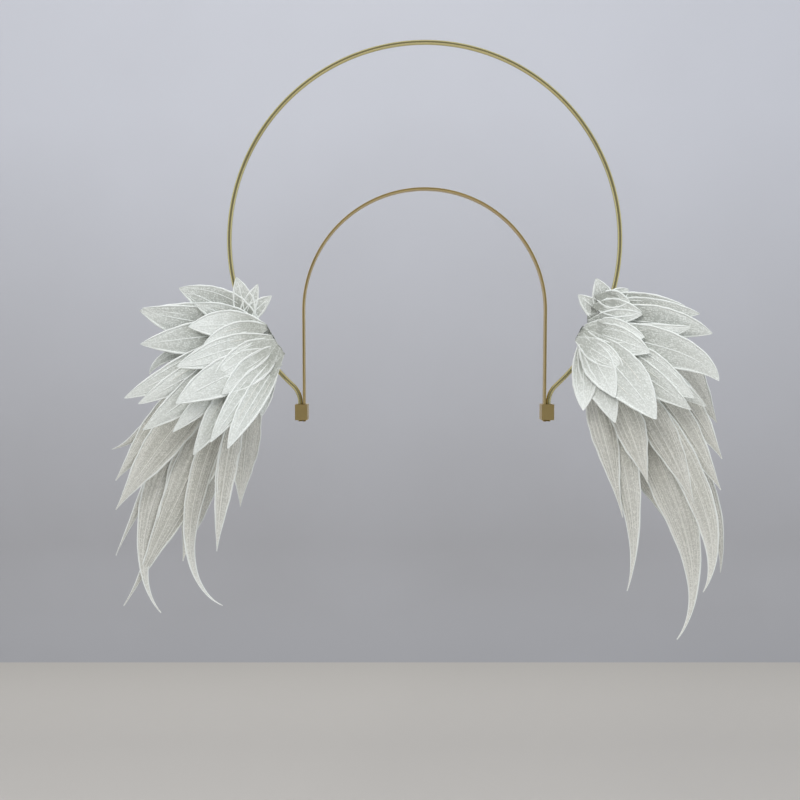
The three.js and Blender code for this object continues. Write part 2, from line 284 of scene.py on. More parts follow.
def new_object(name, vertices, faces, slots, face_slots=None, uvs=None):
    """An object at the origin from arrays of vertices and quads, with its materials and named UV maps.

    uvs maps a UV map's name to one (u, v) for each vertex, which each corner of a face takes from its vertex.
    """
    mesh = bpy.data.meshes.new(name)
    faces = np.asarray(faces, dtype=np.int32)
    mesh.vertices.add(len(vertices))
    mesh.vertices.foreach_set("co", np.ascontiguousarray(vertices, dtype=np.float32).ravel())
    mesh.loops.add(faces.size)
    mesh.loops.foreach_set("vertex_index", faces.ravel())
    mesh.polygons.add(len(faces))
    mesh.polygons.foreach_set("loop_start", np.arange(0, faces.size, faces.shape[1], dtype=np.int32))
    mesh.polygons.foreach_set("use_smooth", np.ones(len(faces), dtype=bool))
    for material in slots:
        mesh.materials.append(material)
    if face_slots is not None:
        mesh.polygons.foreach_set("material_index", np.asarray(face_slots, dtype=np.int32))
    for map_name, values in (uvs or {}).items():
        layer = mesh.uv_layers.new(name=map_name)
        layer.data.foreach_set("uv", np.ascontiguousarray(values[faces.ravel()], dtype=np.float32).ravel())
    mesh.update(calc_edges=True)
    mesh.validate()
    obj = bpy.data.objects.new(name, mesh)
    bpy.context.collection.objects.link(obj)
    return obj


def grid_faces(rows, columns, closed=True):
    """Quads of a grid of rows by columns of vertices, whose columns join up when it is closed."""
    i = np.arange(rows - 1)[:, None]
    j = np.arange(columns if closed else columns - 1)[None, :]
    k = (j + 1) % columns
    quads = [i * columns + j, i * columns + k, (i + 1) * columns + k, (i + 1) * columns + j]
    return np.stack(quads, -1).reshape(-1, 4)


def end_faces(columns, offset, flip):
    """Quads that close one end of a tube: opposite corners of its ring are joined across in strips."""
    j = np.arange(columns // 2 - 1)
    strip = np.stack([j, j + 1, columns - 2 - j, columns - 1 - j], -1)
    if flip:
        strip = strip[:, ::-1]
    return strip + offset


class Batch:
    """Gathers grids into one mesh."""

    def __init__(self):
        self.vertices, self.faces, self.slots, self.maps, self.count = [], [], [], {}, 0

    def add(self, points, slot=0, reverse=False, **maps):
        """Adds a closed tube of (rows, columns, 3) points with both ends shut.

        maps are its UV maps' values.
        """
        rows, columns = points.shape[:2]
        faces = np.concatenate([
            grid_faces(rows, columns),
            end_faces(columns, 0, False),
            end_faces(columns, (rows - 1) * columns, True),
        ])
        if reverse:
            faces = faces[:, ::-1]
        self.vertices.append(points.reshape(-1, 3))
        self.faces.append(faces + self.count)
        self.slots.append(np.full(len(faces), slot))
        for name, values in maps.items():
            self.maps.setdefault(name, []).append(values.reshape(-1, 2))
        self.count += rows * columns

    def make(self, name, materials):
        """The object of all that was added."""
        maps = {key: np.concatenate(values) for key, values in self.maps.items()}
        return new_object(name, np.concatenate(self.vertices), np.concatenate(self.faces), materials,
                          np.concatenate(self.slots), maps)


def tube(path, widths, heights, sides, up=(0.0, -1.0, 0.0)):
    """A tube along a path, and its map of (round it, length along it).

    At each point the section is an ellipse: the half width times the cosine of the angle sideways, plus the
    half height times its sine along the up direction, made square to the path.
    """
    tangent = np.gradient(path, axis=0)
    tangent /= np.linalg.norm(tangent, axis=1, keepdims=True)
    lift = np.asarray(up) - tangent * (tangent @ np.asarray(up))[:, None]
    lift /= np.linalg.norm(lift, axis=1, keepdims=True)
    side = np.cross(tangent, lift)
    angle = 2 * np.pi * np.arange(sides) / sides
    points = (path[:, None, :]
              + 0.5 * np.asarray(widths).reshape(-1, 1, 1) * np.cos(angle)[None, :, None] * side[:, None, :]
              + 0.5 * np.asarray(heights).reshape(-1, 1, 1) * np.sin(angle)[None, :, None] * lift[:, None, :])
    run = np.r_[0, np.cumsum(np.linalg.norm(np.diff(path, axis=0), axis=1))]
    flat = np.stack(np.broadcast_arrays(angle[None, :] / (2 * np.pi), run[:, None]), -1)
    return points, flat


# Lace

def sewn_radius(sizes):
    """Radius of the circle that the lace is sewn along, just inside the middle of the ring's wire."""
    return (sizes.ring_diameter - sizes.ring_wire) / 2 - SEWN_INSET


def spread_at(x, z, sizes):
    """How much the layers have spread at a point: LACE_SPREAD times one less the falling exponential of the
    distance out from the sewn circle, past SPREAD_FROM, over SPREAD_REACH, to SPREAD_POWER."""
    away = np.maximum(0, np.hypot(x, z + sizes.ring_drop) - sewn_radius(sizes) - SPREAD_FROM)
    return LACE_SPREAD * (1 - np.exp(-((away / SPREAD_REACH) ** SPREAD_POWER)))


def layer_depth(x, z, layer, relief, sizes):
    """Depth of a layer's middle: its place where it is sewn, plus its number over FLAT_LAYER and the
    feather's own relief, both times the spread. Forward is -Y."""
    sewn = sizes.ring_wire / 2 + LACE_SEAT + CAD_WALL / 2 + layer * LACE_PITCH
    return -(sewn + (layer - FLAT_LAYER + relief) * spread_at(x, z, sizes))


def sewn_point(side, along, sizes, outward=0.0):
    """The point of the sewn circle at a share of the sewn stretch, moved outward from the circle."""
    angle = np.radians(SEWN_FROM + along * (SEWN_TO - SEWN_FROM))
    radius = sewn_radius(sizes) + outward
    return side * radius * np.cos(angle), -sizes.ring_drop + radius * np.sin(angle)


def outline(kind, share):
    """Half width of a feather at a share of its length, as a share of its widest: a sine arch skewed so that
    it peaks at the widest place and raised to the fullness, on a stalk that dies out to the tip."""
    skew = math.log(0.5) / math.log(kind["widest"])
    arch = np.clip(np.sin(np.pi * share ** skew), 0, None) ** kind["fullness"]
    return np.hypot(arch, STALK * (1 - share)) + TIP


class Feather:
    """One feather's vein, half widths and headings, from which any point of its cloth is worked out.

    The heading at a share of the length is the row's heading plus its bend times the share plus its curl
    times the share to CURL_POWER, and the vein is the running sum of short steps along it.
    """

    def __init__(self, side, layer, kind_name, row, number, place, sizes):
        self.side, self.layer, self.kind_name, self.row = side, layer, kind_name, row
        self.kind, self.sizes, self.number, self.place = KINDS[kind_name], sizes, number, place
        self.is_long = kind_name != "covert"
        self.length = row["length"] * self.kind["length"] + self.kind["lead"]
        self.half = row["width"] * self.kind["width"] / 2
        fine = 400
        way = self.heading((np.arange(fine) + 0.5) / fine)
        x, z = sewn_point(side, row["along"], sizes)
        start = self.heading(0.0)
        x -= side * self.kind["lead"] * np.cos(start)
        z -= self.kind["lead"] * np.sin(start)
        step = self.length / fine
        self.shares = np.linspace(0, 1, fine + 1)
        self.vein_x = x + side * step * np.r_[0, np.cumsum(np.cos(way))]
        self.vein_z = z + step * np.r_[0, np.cumsum(np.sin(way))]

    def heading(self, share):
        row = self.row
        return np.radians(row["heading"] + row["bend"] * share + row["curl"] * share ** CURL_POWER)

    def lobes(self, across):
        """Swelling between the stitched lines: the square of the sine of pi times across times the channels,
        times one less the square of across."""
        channels = LONG_CHANNELS if self.is_long else 1
        return np.sin(np.pi * channels * across) ** 2 * (1 - across ** 2)

    def surface(self, across, along, proud=0.0):
        """Points of the cloth's middle at (across, along), which broadcast together, moved forward by proud.

        The cut is uneven by EDGE_WAVE times slow sine waves of along that differ on the two edges, and by
        FINE_WAVE times the product of two quicker ones, and one half is wider by LOPSIDED. The edges ruffle by
        RUFFLE times a sine wave of along that dies out to the tip, and the tip lifts by TIP_LIFT times the cube
        of along. The tilt, the camber and the swelling die out by one less along to SETTLE_POWER.
        """
        across, along = np.broadcast_arrays(across, along)
        turn = 2.4 * self.number + 1.3 * self.layer
        uneven = 1 + EDGE_WAVE * np.sin(7.0 * along + turn + 1.9 * np.sign(across)) * across ** 2
        quick = np.sin(37.0 * along + turn + 2.3 * np.sign(across)) * np.sin(15.0 * along + 2 * turn)
        uneven = uneven + (FINE_WAVE if self.is_long else FINE_WAVE / 2) * quick * across ** 2
        uneven = uneven * (1 + LOPSIDED * np.sin(3.0 * turn) * across)
        half = outline(self.kind, along) * self.half * uneven
        way = self.heading(along)
        x = np.interp(along, self.shares, self.vein_x) + across * half * np.sin(way)
        z = np.interp(along, self.shares, self.vein_z) - across * half * self.side * np.cos(way)
        ruffle = RUFFLE * np.sin(9.0 * along + turn) * across ** 2 * (2 - np.abs(across))
        lift = TIP_LIFT * np.sin(1.9 * turn) * along ** 3
        relief = CAMBER * (1 - across ** 2) - TILT * across * self.side + self.sizes.puff * self.lobes(across)
        relief = relief * (1 - along ** SETTLE_POWER) + ruffle * (1 - along) + lift
        y = layer_depth(x, z, self.layer, relief, self.sizes) - ROW_LIFT * self.place - proud
        return np.stack([x, y, z], -1)

    def shell(self, across_steps):
        """The cloth as a closed shell: the grid runs over the front from one edge to the other and back behind
        it, apart by the cloth's thickness times the root of one less across squared."""
        v = np.cos(np.linspace(0, np.pi, across_steps + 1))
        v = np.sign(v) * np.abs(v) ** 0.8
        round_trip = np.r_[v, v[-2:0:-1]]
        facing = np.r_[np.ones(across_steps + 1), -np.ones(across_steps - 1)]
        along = np.linspace(0, 1, ALONG_STEPS[self.kind_name] + 1)[:, None]
        across = round_trip[None, :]
        swell = EDGE_THIN + (1 - EDGE_THIN) * np.sqrt(np.clip(1 - across ** 2, 0, 1))
        thick = 0.5 * self.sizes.cloth * swell * facing[None, :]
        thick = np.where(np.abs(across) > 0.999, 0.0, thick)
        points = self.surface(across, along)
        points[..., 1] -= thick
        wide = across * outline(self.kind, along) * self.half
        flat = MAP_SCALE * np.stack(np.broadcast_arrays(wide, along * self.length), -1)
        flat += (3.7 * self.number, 11.0 * self.layer)
        mark = 10 * self.layer + min(self.number, 9)
        leaf = np.stack(np.broadcast_arrays(across, along * 0.98 + 0.01 + mark), -1)
        return points, flat, leaf

    def stitching(self):
        """The lines stitched on a feather as (across, first, last, width, slot): both edges, the vein, and by
        the feather's number either nothing more, two side veins or an inner outline. Slot 1 is the finer
        thread."""
        rim, rib, fine = self.sizes.rim_cord, self.sizes.rib_cord, self.sizes.fine_cord
        start = CORD_FROM + CORD_RANGE * abs(math.sin(2.4 * self.number + self.layer))
        if self.is_long:
            lines = [
                (-EDGE_LINE, 0.0, 1.0, fine, 0),
                (EDGE_LINE, 0.0, 1.0, fine, 0),
                (0.0, 0.0, 0.94, fine * 0.7, 1),
            ]
            for across in (0.34, 0.67):
                lines += [(-across, 0.06, 0.90, fine * 0.5, 1), (across, 0.06, 0.90, fine * 0.5, 1)]
            return lines
        lines = [
            (-EDGE_LINE, start, 1.0, rim, 0),
            (EDGE_LINE, CORD_FROM + CORD_RANGE - start, 1.0, rim, 0),
            (0.0, start + 0.05, 0.90, rib, 0),
        ]
        style = (self.number + self.layer) % 3
        if self.half > 0.006 and style == 0:
            lines += [(-0.62, start + 0.08, 0.94, rib * 0.8, 0), (0.62, start + 0.12, 0.94, rib * 0.8, 0)]
        if self.half > 0.006 and style == 1:
            lines += [(-0.45, start + 0.1, 0.70, rib * 0.7, 1), (0.45, start + 0.14, 0.74, rib * 0.7, 1)]
        return lines

    def line(self, across, first, last, width):
        """A stitched cord over the cloth at the given across from one share to another.

        Its width tapers to both ends and swells by slow waves, as hand-guided stitching does.
        """
        along = np.linspace(first, last, ALONG_STEPS[self.kind_name] + 1)
        t = (along - first) / (last - first)
        taper = 0.12 + 0.88 * np.clip(np.minimum(t / 0.10, (1 - t) / 0.20), 0, 1) ** 0.8
        taper *= 1 + 0.14 * np.sin(23.0 * along + 5.0 * across + self.number)
        path = self.surface(across * np.ones_like(along), along, self.sizes.cloth / 2)
        return tube(path, width * taper, 0.75 * width * taper, CORD_SIDES)


def wing_layer(side_name, layer, sizes):
    """The feathers of one layer, its table's rows given their names."""
    side, wing = WINGS[side_name]
    layer_name, kind_name = LAYERS[layer]
    rows = [dict(zip(COLUMNS, values)) for values in wing[layer_name]]
    last = max(1, len(rows) - 1)
    return [Feather(side, layer, kind_name, row, n, n / last, sizes) for n, row in enumerate(rows)]


def sewn_tape(side, layer, feathers, sizes):
    """The tape that joins a layer's feathers: a flat tube along the sewn circle, past the first and the last
    root."""
    roots = [feather.row["along"] for feather in feathers]
    along = np.linspace(min(roots) - TAPE_MARGIN, max(roots) + TAPE_MARGIN, TAPE_STEPS)
    x, z = sewn_point(side, along, sizes)
    path = np.stack([x, layer_depth(x, z, layer, 0.0, sizes), z], -1)
    return tube(path, np.full(len(along), SEWN_TAPE), np.full(len(along), 2 * sizes.cloth), TAPE_SIDES)


def build_layer(side_name, layer, sizes, finishes):
    side, _ = WINGS[side_name]
    layer_name, kind_name = LAYERS[layer]
    feathers = wing_layer(side_name, layer, sizes)
    cloth, cords = Batch(), Batch()
    for feather in feathers:
        points, flat, leaf = feather.shell(sizes.grid_across)
        cloth.add(points, weave=flat, leaf=leaf, reverse=side > 0)
        for across, first, last, width, slot in feather.stitching():
            cord, flat = feather.line(across, first, last, width)
            cords.add(cord, slot=slot, weave=flat * (1, MAP_SCALE))
    tape, flat = sewn_tape(side, layer, feathers, sizes)
    cloth.add(tape, weave=flat * (0.5, MAP_SCALE), leaf=flat * 0 + 0.5)
    is_long = kind_name != "covert"
    lace = sheer_lace(finishes) if is_long else stitched_lace(finishes)
    name = f"{side_name}_{layer_name}"
    sheet = cloth.make(name + "_cloth", [lace])
    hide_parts(name)
    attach(sheet, "root")
    cording = cords.make(name + "_cords", [satin_cord(finishes), fine_cord(finishes)])
    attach(cording, "root")
    cut_area = sum(feather_area(feather) for feather in feathers)
    cut_area += SEWN_TAPE * np.linalg.norm(np.diff(tape.mean(1), axis=0), axis=1).sum()
    width = math.sqrt(cut_area / CLOTH_USED)


def feather_area(feather):
    """Area of a feather's cut: the mean of its outline times its full width and its length."""
    share = np.linspace(0, 1, 201)
    return float(outline(feather.kind, share).mean() * 2 * feather.half * feather.length)


# Finishes

def material(name):
    """A new material with its node tree and its Principled shader."""
    made = bpy.data.materials.new(name)
    made.use_nodes = True
    return made, made.node_tree, made.node_tree.nodes["Principled BSDF"]


def node(tree, kind, inputs=(), **settings):
    """A node with its settings, and its inputs given as constants or as the sockets that feed them."""
    made = tree.nodes.new(kind)
    for key, value in settings.items():
        setattr(made, key, value)
    for key, value in dict(inputs).items():
        socket = made.inputs[key]
        if isinstance(value, bpy.types.NodeSocket):
            tree.links.new(value, socket)
        else:
            socket.default_value = value
    return made


def math_node(tree, operation, first, second=0.0, clamp=False):
    """The result of a sum on one or two numbers or sockets."""
    made = node(tree, "ShaderNodeMath", {0: first, 1: second}, operation=operation, use_clamp=clamp)
    return made.outputs[0]


def mix_colours(tree, share, first, second):
    """A colour part way from the first to the second."""
    made = node(tree, "ShaderNodeMix", {0: share}, data_type="RGBA")
    for key, value in ((6, first), (7, second)):
        if isinstance(value, bpy.types.NodeSocket):
            tree.links.new(value, made.inputs[key])
        else:
            made.inputs[key].default_value = value
    return made.outputs[2]


def opaque(colour, factor=1.0):
    """The colour times a factor, with full alpha."""
    return (*(min(1.0, channel * factor) for channel in colour), 1.0)


def map_range(tree, value, first, last, low=0.0, high=1.0):
    """The value moved from the range first to last onto low to high, and kept within it."""
    ends = {"From Min": first, "From Max": last, "To Min": low, "To Max": high}
    return node(tree, "ShaderNodeMapRange", {"Value": value, **ends}).outputs[0]


def embroidery(tree, weave, scale):
    """The pattern of the embroidery as (stitched share, height).

    Small satin stitches are the cells of a Voronoi pattern stretched along the feather, times noise that
    leaves patches of bare ground.
    """
    cells = node(tree, "ShaderNodeMapping", {"Vector": weave, "Scale": (scale, scale * 0.75, 1.0)})
    stitches = node(tree, "ShaderNodeTexVoronoi", {"Vector": cells.outputs[0], "Scale": 1.0,
                                                   "Randomness": 1.0})
    patches = node(tree, "ShaderNodeTexNoise", {"Vector": weave, "Scale": 3.2, "Detail": 5.0,
                                                "Roughness": 0.65})
    bare = map_range(tree, patches.outputs["Fac"], 0.36, 0.62, 0.25, 1.0)
    dots = map_range(tree, stitches.outputs["Distance"], 0.68, 0.22)
    return math_node(tree, "MULTIPLY", dots, bare, clamp=True), dots


def leaf_parts(tree):
    """The shares across (0 at the vein, 1 at the edge) and along a feather, its mark (ten times its layer plus
    its number) and a random tone of its own, from the leaf UV map."""
    leaf = node(tree, "ShaderNodeUVMap", uv_map="leaf").outputs[0]
    parts = node(tree, "ShaderNodeSeparateXYZ", {0: leaf})
    across = math_node(tree, "ABSOLUTE", parts.outputs[0])
    mark = math_node(tree, "FLOOR", parts.outputs[1])
    tone = node(tree, "ShaderNodeTexWhiteNoise", {"W": mark}, noise_dimensions="1D").outputs["Value"]
    return across, math_node(tree, "FRACT", parts.outputs[1]), mark, tone


def streaks(tree):
    """Lengthwise streaks of uneven width: noise of the leaf UV map, close across the feather and long along
    it."""
    leaf = node(tree, "ShaderNodeUVMap", uv_map="leaf").outputs[0]
    stretched = node(tree, "ShaderNodeMapping", {"Vector": leaf, "Scale": (7.0, 1.3, 1.0)})
    grain = node(tree, "ShaderNodeTexNoise", {"Vector": stretched.outputs[0], "Scale": 1.0, "Detail": 3.0,
                                              "Roughness": 0.6})
    return map_range(tree, grain.outputs["Fac"], 0.42, 0.66)


def shared(name, make):
    """The material of that name, made the first time it is asked for."""
    return bpy.data.materials.get(name) or make(name)


def stitched_lace(finishes):
    """White organza covered with small satin stitches, closer by its rims and its tip, with painted shade near
    the root and painted shade on the rear layers, which lie under the front ones."""
    def make(name):
        made, tree, shader = material(name)
        weave = node(tree, "ShaderNodeUVMap", uv_map="weave").outputs[0]
        covered, height = embroidery(tree, weave, 12.0)
        across, along, mark, tone = leaf_parts(tree)
        rim = map_range(tree, across, 0.70, 1.0, 0.0, 0.45)
        # lighter towards the tip: partly closer stitching at the tip, partly painted shade near the root
        tip = map_range(tree, along, 0.25, 0.95, 0.0, 0.75)
        share = math_node(tree, "MULTIPLY", covered, 0.50)
        share = math_node(tree, "ADD", share, math_node(tree, "MULTIPLY", tone, 0.30))
        # painted shade: the rear layers, lying under the front ones, are darker by their mark
        share = math_node(tree, "ADD", share, map_range(tree, mark, 30.0, 50.0, -0.30, -0.08))
        share = math_node(tree, "ADD", math_node(tree, "ADD", share, rim), tip, clamp=True)
        colour = mix_colours(tree, share, opaque(finishes.organza), opaque(finishes.stitches))
        tree.links.new(colour, shader.inputs["Base Color"])
        sheerest = map_range(tree, mark, 38.0, 52.0, 0.74, 0.95)
        seen = math_node(tree, "ADD", sheerest, math_node(tree, "MULTIPLY", share, 0.38), clamp=True)
        tree.links.new(seen, shader.inputs["Alpha"])
        shader.inputs["Roughness"].default_value = 0.6
        shader.inputs["Sheen Weight"].default_value = 0.25
        shader.inputs["Sheen Roughness"].default_value = 0.45
        bump = node(tree, "ShaderNodeBump", {"Strength": 0.55, "Distance": 0.0002, "Height": height})
        tree.links.new(bump.outputs[0], shader.inputs["Normal"])
        return made
    return shared("stitched_lace", make)


def sheer_lace(finishes):
    """Sheer organza of the long feathers: see-through ground, fine speckled stitches and lengthwise
    streaks."""
    def make(name):
        made, tree, shader = material(name)
        weave = node(tree, "ShaderNodeUVMap", uv_map="weave").outputs[0]
        covered, height = embroidery(tree, weave, 14.0)
        across, along, _, tone = leaf_parts(tree)
        lines = math_node(tree, "MULTIPLY", streaks(tree), 0.55)
        rim = map_range(tree, across, 0.72, 1.0, 0.0, 0.5)
        tip = map_range(tree, along, 0.70, 0.95, 0.0, 0.5)
        share = math_node(tree, "ADD", math_node(tree, "MULTIPLY", covered, 0.75), lines)
        share = math_node(tree, "ADD", share, math_node(tree, "MULTIPLY", tone, 0.2))
        share = math_node(tree, "ADD", math_node(tree, "ADD", share, rim), tip, clamp=True)
        colour = mix_colours(tree, share, opaque(finishes.sheer), opaque(finishes.sheer_stitches))
        tree.links.new(colour, shader.inputs["Base Color"])
        tree.links.new(map_range(tree, share, 0.0, 1.0, 0.60, 0.92), shader.inputs["Alpha"])
        shader.inputs["Roughness"].default_value = 0.6
        shader.inputs["Sheen Weight"].default_value = 0.3
        shader.inputs["Sheen Roughness"].default_value = 0.4
        bump = node(tree, "ShaderNodeBump", {"Strength": 0.45, "Distance": 0.00015, "Height": height})
        tree.links.new(bump.outputs[0], shader.inputs["Normal"])
        return made
    return shared("sheer_lace", make)


def thread(name, colour):
    """Satin-stitched cord: fine threads laid across it, as bands along its length."""
    made, tree, shader = material(name)
    weave = node(tree, "ShaderNodeUVMap", uv_map="weave").outputs[0]
    laid = node(tree, "ShaderNodeTexWave", {"Vector": weave, "Scale": 9.0, "Distortion": 1.2, "Detail": 1.0},
                wave_type="BANDS", bands_direction="Y").outputs["Fac"]
    tone = mix_colours(tree, laid, opaque(colour, 0.93), opaque(colour, 1.03))
    tree.links.new(tone, shader.inputs["Base Color"])
    shader.inputs["Roughness"].default_value = 0.5
    shader.inputs["Sheen Weight"].default_value = 0.2
    bump = node(tree, "ShaderNodeBump", {"Strength": 0.5, "Distance": 0.0001, "Height": laid})
    tree.links.new(bump.outputs[0], shader.inputs["Normal"])
    return made


def satin_cord(finishes):
    """The white cord of the edges."""
    return shared("satin_cord", lambda name: thread(name, finishes.stitches))


def fine_cord(finishes):
    """The finer thread of the lines inside the feathers, in the tone of the sheer cloth."""
    return shared("fine_cord", lambda name: thread(name, finishes.sheer_stitches))


def polished_wire(finishes):
    """Polished gold-coloured wire with faint drawing marks and a slight variation of tone."""
    def make(name):
        made, tree, shader = material(name)
        spot = node(tree, "ShaderNodeTexCoord").outputs["Object"]
        tarnish = node(tree, "ShaderNodeTexNoise", {"Vector": spot, "Scale": 60.0, "Detail": 4.0})
        colour = mix_colours(tree, tarnish.outputs["Fac"], opaque(finishes.gold, 0.9),
                             opaque(finishes.gold, 1.08))
        tree.links.new(colour, shader.inputs["Base Color"])
        rough = node(tree, "ShaderNodeMapRange", {"Value": tarnish.outputs["Fac"], "To Min": 0.16,
                                                  "To Max": 0.30})
        tree.links.new(rough.outputs[0], shader.inputs["Roughness"])
        shader.inputs["Metallic"].default_value = 1.0
        return made
    return shared("polished_wire", make)


def brushed_band(finishes):
    """Gold-coloured flat band with fine brushed lines."""
    def make(name):
        made, tree, shader = material(name)
        spot = node(tree, "ShaderNodeTexCoord").outputs["Object"]
        lines = node(tree, "ShaderNodeMapping", {"Vector": spot, "Scale": (40.0, 2500.0, 40.0)})
        brush = node(tree, "ShaderNodeTexNoise", {"Vector": lines.outputs[0], "Scale": 1.0, "Detail": 3.0})
        colour = mix_colours(tree, brush.outputs["Fac"], opaque(finishes.band, 0.85),
                             opaque(finishes.band, 1.1))
        tree.links.new(colour, shader.inputs["Base Color"])
        rough = node(tree, "ShaderNodeMapRange", {"Value": brush.outputs["Fac"], "To Min": 0.22,
                                                  "To Max": 0.42})
        tree.links.new(rough.outputs[0], shader.inputs["Roughness"])
        shader.inputs["Metallic"].default_value = 1.0
        bump = node(tree, "ShaderNodeBump", {"Strength": 0.25, "Distance": 0.00005,
                                             "Height": brush.outputs["Fac"]})
        tree.links.new(bump.outputs[0], shader.inputs["Normal"])
        return made
    return shared("brushed_band", make)


def plain_cloth(name, low, high, roughness):
    """Matt studio cloth whose colour goes from low by the floor to high above the object, with a faint
    mottle; on the backdrop the low colour is painted shade and the high one painted light."""
    made, tree, shader = material(name)
    spot = node(tree, "ShaderNodeTexCoord").outputs["Object"]
    mottle = node(tree, "ShaderNodeTexNoise", {"Vector": spot, "Scale": 3.0, "Detail": 3.0}).outputs["Fac"]
    height = node(tree, "ShaderNodeSeparateXYZ", {0: spot}).outputs[2]
    # painted light and shade: lighter with height between the heights of BACKDROP_FADE
    share = map_range(tree, height, *BACKDROP_FADE)
    share = math_node(tree, "ADD", share, map_range(tree, mottle, 0.3, 0.7, -0.06, 0.06))
    tree.links.new(mix_colours(tree, share, opaque(low), opaque(high)), shader.inputs["Base Color"])
    shader.inputs["Roughness"].default_value = roughness
    shader.inputs["Specular IOR Level"].default_value = 0.1
    return made


# Metal

def ring_line(sizes):
    """The ring's centre line: up the left tail, out of its bend, over the circle, and down the right side."""
    radius = (sizes.ring_diameter - sizes.ring_wire) / 2
    bend = sizes.tail_bend
    tail_x = sizes.hoop_width / 2 + sizes.hoop_thickness + sizes.gap + sizes.ring_wire / 2
    top = -sizes.ring_drop - math.sqrt((radius + bend) ** 2 - (tail_x + bend) ** 2)
    end = top - sizes.sleeve_length - TAIL_BELOW_BEND
    meeting = math.asin((-top - sizes.ring_drop) / (radius + bend))
    turn = np.linspace(math.pi + meeting, -meeting, RING_STEPS)
    circle = np.stack([radius * np.cos(turn), -sizes.ring_drop + radius * np.sin(turn)], -1)
    corner = np.linspace(math.pi - meeting, math.pi, BEND_STEPS)[1:]
    bend_right = np.stack([tail_x + bend + bend * np.cos(corner), top + bend * np.sin(corner)], -1)
    leg = np.stack([np.full(LEG_STEPS, tail_x), np.linspace(top, end, LEG_STEPS + 1)[1:]], -1)
    right = np.concatenate([bend_right, leg])
    left = right[::-1] * (-1, 1)
    flat = np.concatenate([left, circle, right])
    return np.stack([flat[:, 0], np.zeros(len(flat)), flat[:, 1]], -1)


def build_ring(sizes, finishes):
    """The ring is a round tube along its line."""
    line = ring_line(sizes)
    thickness = np.full(len(line), sizes.ring_wire)
    points, flat = tube(line, thickness, thickness, WIRE_SIDES)
    wire = Batch()
    wire.add(points, weave=flat * (1, MAP_SCALE))
    ring = wire.make("halo_ring_wire", [polished_wire(finishes)])
    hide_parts("halo_ring")
    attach(ring, "root")


def build_hoop(sizes, finishes):
    """The hoop's band is a rounded rectangle carried along a half circle on two straight legs."""
    radius = sizes.hoop_width / 2 + sizes.hoop_thickness / 2
    end = ring_line(sizes)[-1][2]
    turn = np.linspace(0, math.pi, 121)
    legs = np.linspace(end, -sizes.hoop_width / 2, 24)[:-1]
    right = np.stack([np.full(23, radius), legs], -1)
    arch = np.stack([radius * np.cos(turn), -sizes.hoop_width / 2 + radius * np.sin(turn)], -1)
    flat = np.concatenate([right, arch, right[::-1] * (-1, 1)])
    line = np.stack([flat[:, 0], np.zeros(len(flat)), flat[:, 1]], -1)
    tangent = np.gradient(line, axis=0)
    tangent /= np.linalg.norm(tangent, axis=1, keepdims=True)
    outward = np.cross(tangent, (0.0, 1.0, 0.0))
    angle = 2 * np.pi * np.arange(WIRE_SIDES) / WIRE_SIDES
    section = np.stack([np.cos(angle), np.sin(angle)])
    section = 0.5 * np.sign(section) * np.abs(section) ** BAND_CORNERS
    points = (line[:, None, :]
              + sizes.hoop_thickness * section[0][None, :, None] * outward[:, None, :]
              + sizes.hoop_band * section[1][None, :, None] * np.array([0.0, 1.0, 0.0]))
    run = np.r_[0, np.cumsum(np.linalg.norm(np.diff(line, axis=0), axis=1))]
    flat_map = np.stack(np.broadcast_arrays(angle[None, :], run[:, None] * MAP_SCALE), -1)
    band = Batch()
    band.add(points, weave=flat_map, reverse=True)
    hoop = band.make("hair_hoop_band", [brushed_band(finishes)])
    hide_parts("hair_hoop")
    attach(hoop, "root")


def build_sleeves(finishes):
    """The CAD sleeves keep their shape and take the band's finish."""
    for side_name in WINGS:
        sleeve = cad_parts[f"end_sleeve_{side_name}"]
        sleeve.data.materials.clear()
        sleeve.data.materials.append(brushed_band(finishes))


# Studio

CAMERA_AT = (-0.0156, -0.5110, -0.1020)
CAMERA_PITCH = -3.4
FLOOR_AT = -0.620
BACKDROP_AT = 0.800              # far enough back to leave room for a view of the object from behind
# the backdrop's painted shade by the floor turns into painted light above between these heights
BACKDROP_FADE = (-0.532, 0.291)  # heights between which the backdrop goes from its low colour to its high one
BACKDROP_TOP = 1.6
STAGE_FRONT = -2.2
STAGE_STEPS = 12
AIM_AT = (0.0, 0.0, -0.1)        # the point that the lamps are turned to
# The room's light from where the camera stands, which the wire mirrors, and from every other side
ROOM_NEAR = (0.24, 0.24, 0.24, 1)
ROOM_ROUND = (0.90, 0.93, 1.0, 1)
ROOM_FADE = (-0.75, -0.35)       # stretch of the direction's Y over which the one goes over into the other
ROOM_STRENGTH = 0.91
# Lamps as (name, place, size, power, colour)
LAMPS = (
    ("key", (-0.9, -1.5, 1.3), 1.1, 21.0, (1.0, 0.99, 0.97)),
    ("fill", (1.3, -1.2, 0.2), 1.2, 8.0, (0.93, 0.96, 1.0)),
    ("top", (0.0, -0.2, 1.5), 0.9, 7.0, (0.96, 0.98, 1.0)),
)


